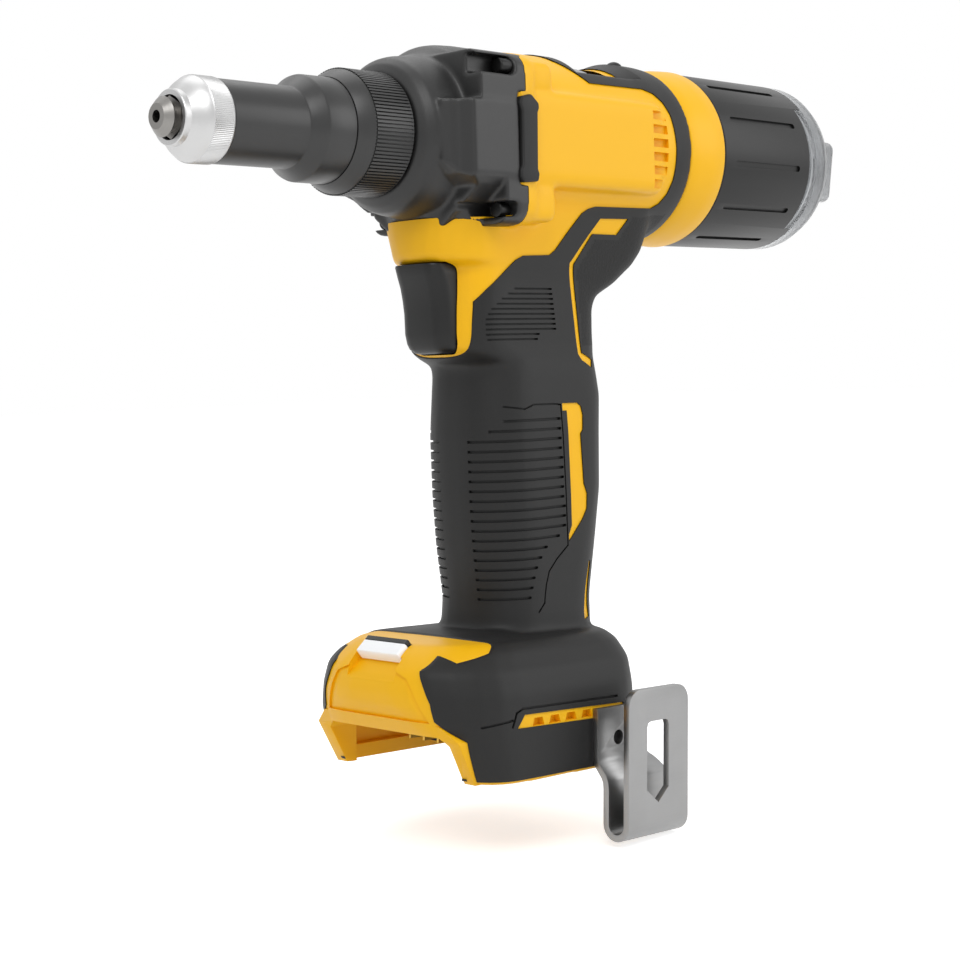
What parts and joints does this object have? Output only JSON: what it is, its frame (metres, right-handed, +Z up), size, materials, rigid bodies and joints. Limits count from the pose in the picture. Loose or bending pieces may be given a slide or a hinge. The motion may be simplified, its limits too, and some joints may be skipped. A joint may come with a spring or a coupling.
{
  "type": "battery rivet tool",
  "caption": "pistol-shaped tool that pulls blind rivets: steel nosepiece in front, motor and mandrel cup in line behind, grip with trigger, foot with a battery receptacle and a belt hook",
  "frame": {"origin": "centre of the nosepiece's front face, on the axis of its bore", "axes": "+X runs back along the barrel from the nose to the mandrel cup, +Z is up, and the belt hook is on the -Y side"},
  "size_m": [0.2761, 0.087, 0.2378],
  "materials": {
    "steel": "machined",
    "satin_steel": "satin, finely knurled rim",
    "black_oxide": "black oxide, satin",
    "ring_black": "knurled, black anodised",
    "case_black": "die cast, dark satin coat",
    "screw_black": "black zinc",
    "gear_steel": "sintered",
    "case_alloy": "machined",
    "lamination": "stacked laminations",
    "copper": "enamelled copper wire",
    "board_green": "glass laminate",
    "yellow_shell": "satin moulded yellow",
    "black_grip": "soft black overmould",
    "black_plastic": "moulded",
    "cup_black": "moulded, satin",
    "clear_end": "clear moulded plastic",
    "trigger_black": "moulded, fine grain",
    "seal": "matte",
    "lens": "white diffusing lens",
    "contact": "plated",
    "insert": "threaded insert",
    "hook_steel": "bent strip, brushed",
    "spring_steel": "drawn wire"
  },
  "bodies": {
    "housing": {"gearcase": "case_black", "gearcase_screws": "screw_black", "retaining_ring": "spring_steel", "guide_sleeve": "steel", "thrust_bearing": "steel", "nut_bearing": "steel", "ring_gear": "gear_steel", "motor_plate": "case_alloy", "front_bearing": "steel", "stator_core": "lamination", "windings": "copper", "sensor_board": "board_green", "rear_bearing": "steel", "rear_bulkhead": "black_plastic", "left_housing": "yellow_shell", "right_housing": "yellow_shell", "left_overmould": "black_grip", "right_overmould": "black_grip", "side_bumpers": "black_grip", "housing_screws": "steel", "rear_ring": "yellow_shell", "cup_seal": "seal", "trigger_switch": "black_plastic", "trigger_spring": "spring_steel", "control_module": "black_plastic", "light_board": "board_green", "light_lens": "lens", "terminal_block": "black_plastic", "terminal_blades": "contact", "hook_insert": "insert", "belt_hook": "hook_steel"},
    "lock_ring_body": {"lock_ring": "ring_black"},
    "nose": {"nosepiece": "steel", "nose_cap": "satin_steel", "nose_tube": "black_oxide"},
    "pull": {"jaw_case": "steel", "pulling_head": "steel", "anti_turn_rollers": "steel", "ball_screw": "steel", "mandrel_tube": "steel", "jaw_spring": "spring_steel"},
    "jaw_a": {"jaw_1": "gear_steel"},
    "jaw_b": {"jaw_2": "gear_steel"},
    "jaw_c": {"jaw_3": "gear_steel"},
    "pusher": {"jaw_pusher": "steel"},
    "nut": {"ball_nut": "gear_steel", "output_carrier": "gear_steel"},
    "input_stage": {"input_carrier": "gear_steel"},
    "rotor": {"motor_shaft": "steel", "fan": "black_plastic", "rotor_core": "lamination"},
    "cup": {"cup_body": "cup_black", "cup_clear_end": "clear_end"},
    "trigger_body": {"trigger": "trigger_black"},
    "output_gear_1": {"output_planet_1": "gear_steel"},
    "input_gear_1": {"input_planet_1": "gear_steel"},
    "output_gear_2": {"output_planet_2": "gear_steel"},
    "input_gear_2": {"input_planet_2": "gear_steel"},
    "output_gear_3": {"output_planet_3": "gear_steel"},
    "input_gear_3": {"input_planet_3": "gear_steel"}
  },
  "joints": [
    {"name": "rotor_spin", "type": "hinge", "parent": "housing", "child": "rotor", "pos_m": [0.185, 0, 0], "axis": [-1, 0, 0], "range_deg": [0, 39201]},
    {"name": "input_stage_turn", "type": "hinge", "parent": "housing", "child": "input_stage", "pos_m": [0.14, 0, 0], "axis": [-1, 0, 0], "range_deg": [0, 8401]},
    {"name": "nut_turn", "type": "hinge", "parent": "housing", "child": "nut", "pos_m": [0.09, 0, 0], "axis": [-1, 0, 0], "range_deg": [0, 1801]},
    {"name": "input_gear_1_turn", "type": "hinge", "parent": "input_stage", "child": "input_gear_1", "pos_m": [0.146, 0, 0.0147], "axis": [-1, 0, 0], "range_deg": [-23101, 0]},
    {"name": "output_gear_1_turn", "type": "hinge", "parent": "nut", "child": "output_gear_1", "pos_m": [0.134, 0, 0.0147], "axis": [-1, 0, 0], "range_deg": [-4951, 0]},
    {"name": "input_gear_2_turn", "type": "hinge", "parent": "input_stage", "child": "input_gear_2", "pos_m": [0.146, -0.01273, -0.00735], "axis": [-1, 0, 0], "range_deg": [-23101, 0]},
    {"name": "output_gear_2_turn", "type": "hinge", "parent": "nut", "child": "output_gear_2", "pos_m": [0.134, -0.01273, -0.00735], "axis": [-1, 0, 0], "range_deg": [-4951, 0]},
    {"name": "input_gear_3_turn", "type": "hinge", "parent": "input_stage", "child": "input_gear_3", "pos_m": [0.146, 0.01273, -0.00735], "axis": [-1, 0, 0], "range_deg": [-23101, 0]},
    {"name": "output_gear_3_turn", "type": "hinge", "parent": "nut", "child": "output_gear_3", "pos_m": [0.134, 0.01273, -0.00735], "axis": [-1, 0, 0], "range_deg": [-4951, 0]},
    {"name": "pull_slide", "type": "slide", "parent": "housing", "child": "pull", "axis": [1, 0, 0], "range_m": [0, 0.025]},
    {"name": "jaw_a_slide", "type": "slide", "parent": "pull", "child": "jaw_a", "axis": [-0.9848, 0, -0.1736], "range_m": [0, 0.00245]},
    {"name": "jaw_b_slide", "type": "slide", "parent": "pull", "child": "jaw_b", "axis": [-0.9848, 0.1504, 0.0868], "range_m": [0, 0.00245]},
    {"name": "jaw_c_slide", "type": "slide", "parent": "pull", "child": "jaw_c", "axis": [-0.9848, -0.1504, 0.0868], "range_m": [0, 0.00245]},
    {"name": "pusher_slide", "type": "slide", "parent": "pull", "child": "pusher", "axis": [-1, 0, 0], "range_m": [0, 0.0024], "deforming": ["jaw_spring"]},
    {"name": "lock_ring_turn", "type": "hinge", "parent": "housing", "child": "lock_ring_body", "pos_m": [0.066, 0, 0], "axis": [-1, 0, 0], "range_deg": [0, 721]},
    {"name": "nose_slide", "type": "slide", "parent": "housing", "child": "nose", "axis": [-1, 0, 0], "range_m": [0, 0.003]},
    {"name": "trigger_slide", "type": "slide", "parent": "housing", "child": "trigger_body", "axis": [1, 0, 0], "range_m": [0, 0.006], "stiffness_N_per_m": 800, "springref_m": -0.004, "deforming": ["trigger_spring"]},
    {"name": "cup_twist", "type": "hinge", "parent": "housing", "child": "cup", "pos_m": [0.23, 0, 0], "axis": [1, 0, 0], "range_deg": [0, 35]}
  ],
  "couplings": [
    {"joint": "rotor_spin", "follows": "pull_slide", "rad_per_m": 27367},
    {"joint": "input_stage_turn", "follows": "pull_slide", "rad_per_m": 5864.3},
    {"joint": "nut_turn", "follows": "pull_slide", "rad_per_m": 1256.6},
    {"joint": "input_gear_1_turn", "follows": "pull_slide", "rad_per_m": -16127},
    {"joint": "output_gear_1_turn", "follows": "pull_slide", "rad_per_m": -3455.8},
    {"joint": "input_gear_2_turn", "follows": "pull_slide", "rad_per_m": -16127},
    {"joint": "output_gear_2_turn", "follows": "pull_slide", "rad_per_m": -3455.8},
    {"joint": "input_gear_3_turn", "follows": "pull_slide", "rad_per_m": -16127},
    {"joint": "output_gear_3_turn", "follows": "pull_slide", "rad_per_m": -3455.8},
    {"joint": "jaw_a_slide", "follows": "pull_slide", "ratio": 0.096},
    {"joint": "jaw_b_slide", "follows": "pull_slide", "ratio": 0.096},
    {"joint": "jaw_c_slide", "follows": "pull_slide", "ratio": 0.096},
    {"joint": "pusher_slide", "follows": "pull_slide", "ratio": 0.094542},
    {"joint": "lock_ring_turn", "follows": "nose_slide", "rad_per_m": 4188.8}
  ]
}
